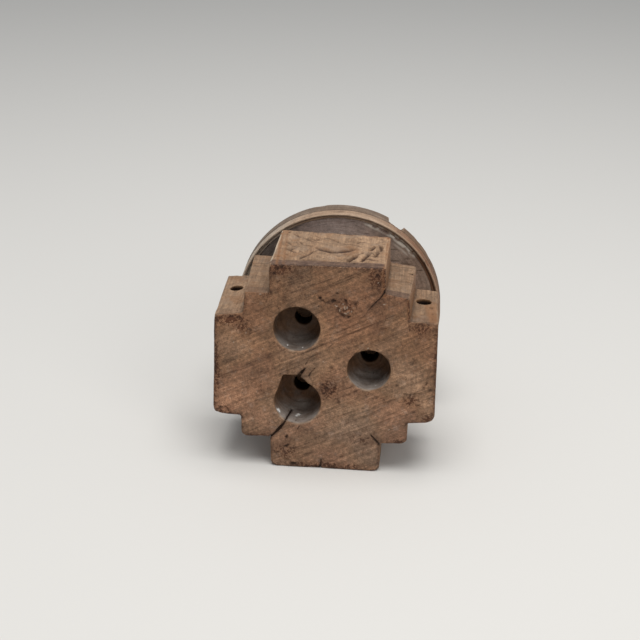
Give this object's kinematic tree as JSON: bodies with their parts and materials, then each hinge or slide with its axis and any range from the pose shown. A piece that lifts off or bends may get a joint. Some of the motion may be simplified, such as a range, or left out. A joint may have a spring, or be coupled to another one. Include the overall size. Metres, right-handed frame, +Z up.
{
  "type": "butter mold",
  "caption": "Wooden plunger butter mold: a stepped-cross grip block pushes a carved round plate through a turned cup to shape butter and press it out.",
  "frame": {"origin": "middle of the bounding box's floor, where the mold rests on its bottom arm and its rim", "axes": "+Y along the plunger from the grip block to the cup's mouth, +Z up, +X to the right seen from the grip block"},
  "size_m": [0.1533, 0.158, 0.1513],
  "materials": {
    "block_wood": "dry weathered end grain",
    "stem_wood": "worn bare wood",
    "peg_wood": "dry bare wood",
    "plate_wood": "washed bare wood",
    "wedge_wood": "dry bare wood",
    "cup_wood": "dark weathered wood",
    "barrel_wood": "dry worn wood",
    "ring_wood": "dry worn wood"
  },
  "bodies": {
    "cup": {"cup_floor": "cup_wood", "cup_barrel": "barrel_wood", "rim_ring": "ring_wood", "rim_pegs": "peg_wood"},
    "plunger": {"grip_block": "block_wood", "plunger_stem": "stem_wood", "stem_pegs": "peg_wood", "print_plate": "plate_wood", "print_wedge": "wedge_wood"}
  },
  "joints": [
    {"name": "plunger_slide", "type": "slide", "parent": "cup", "child": "plunger", "axis": [0, 1, 0], "range_m": [0, 0.03]}
  ]
}
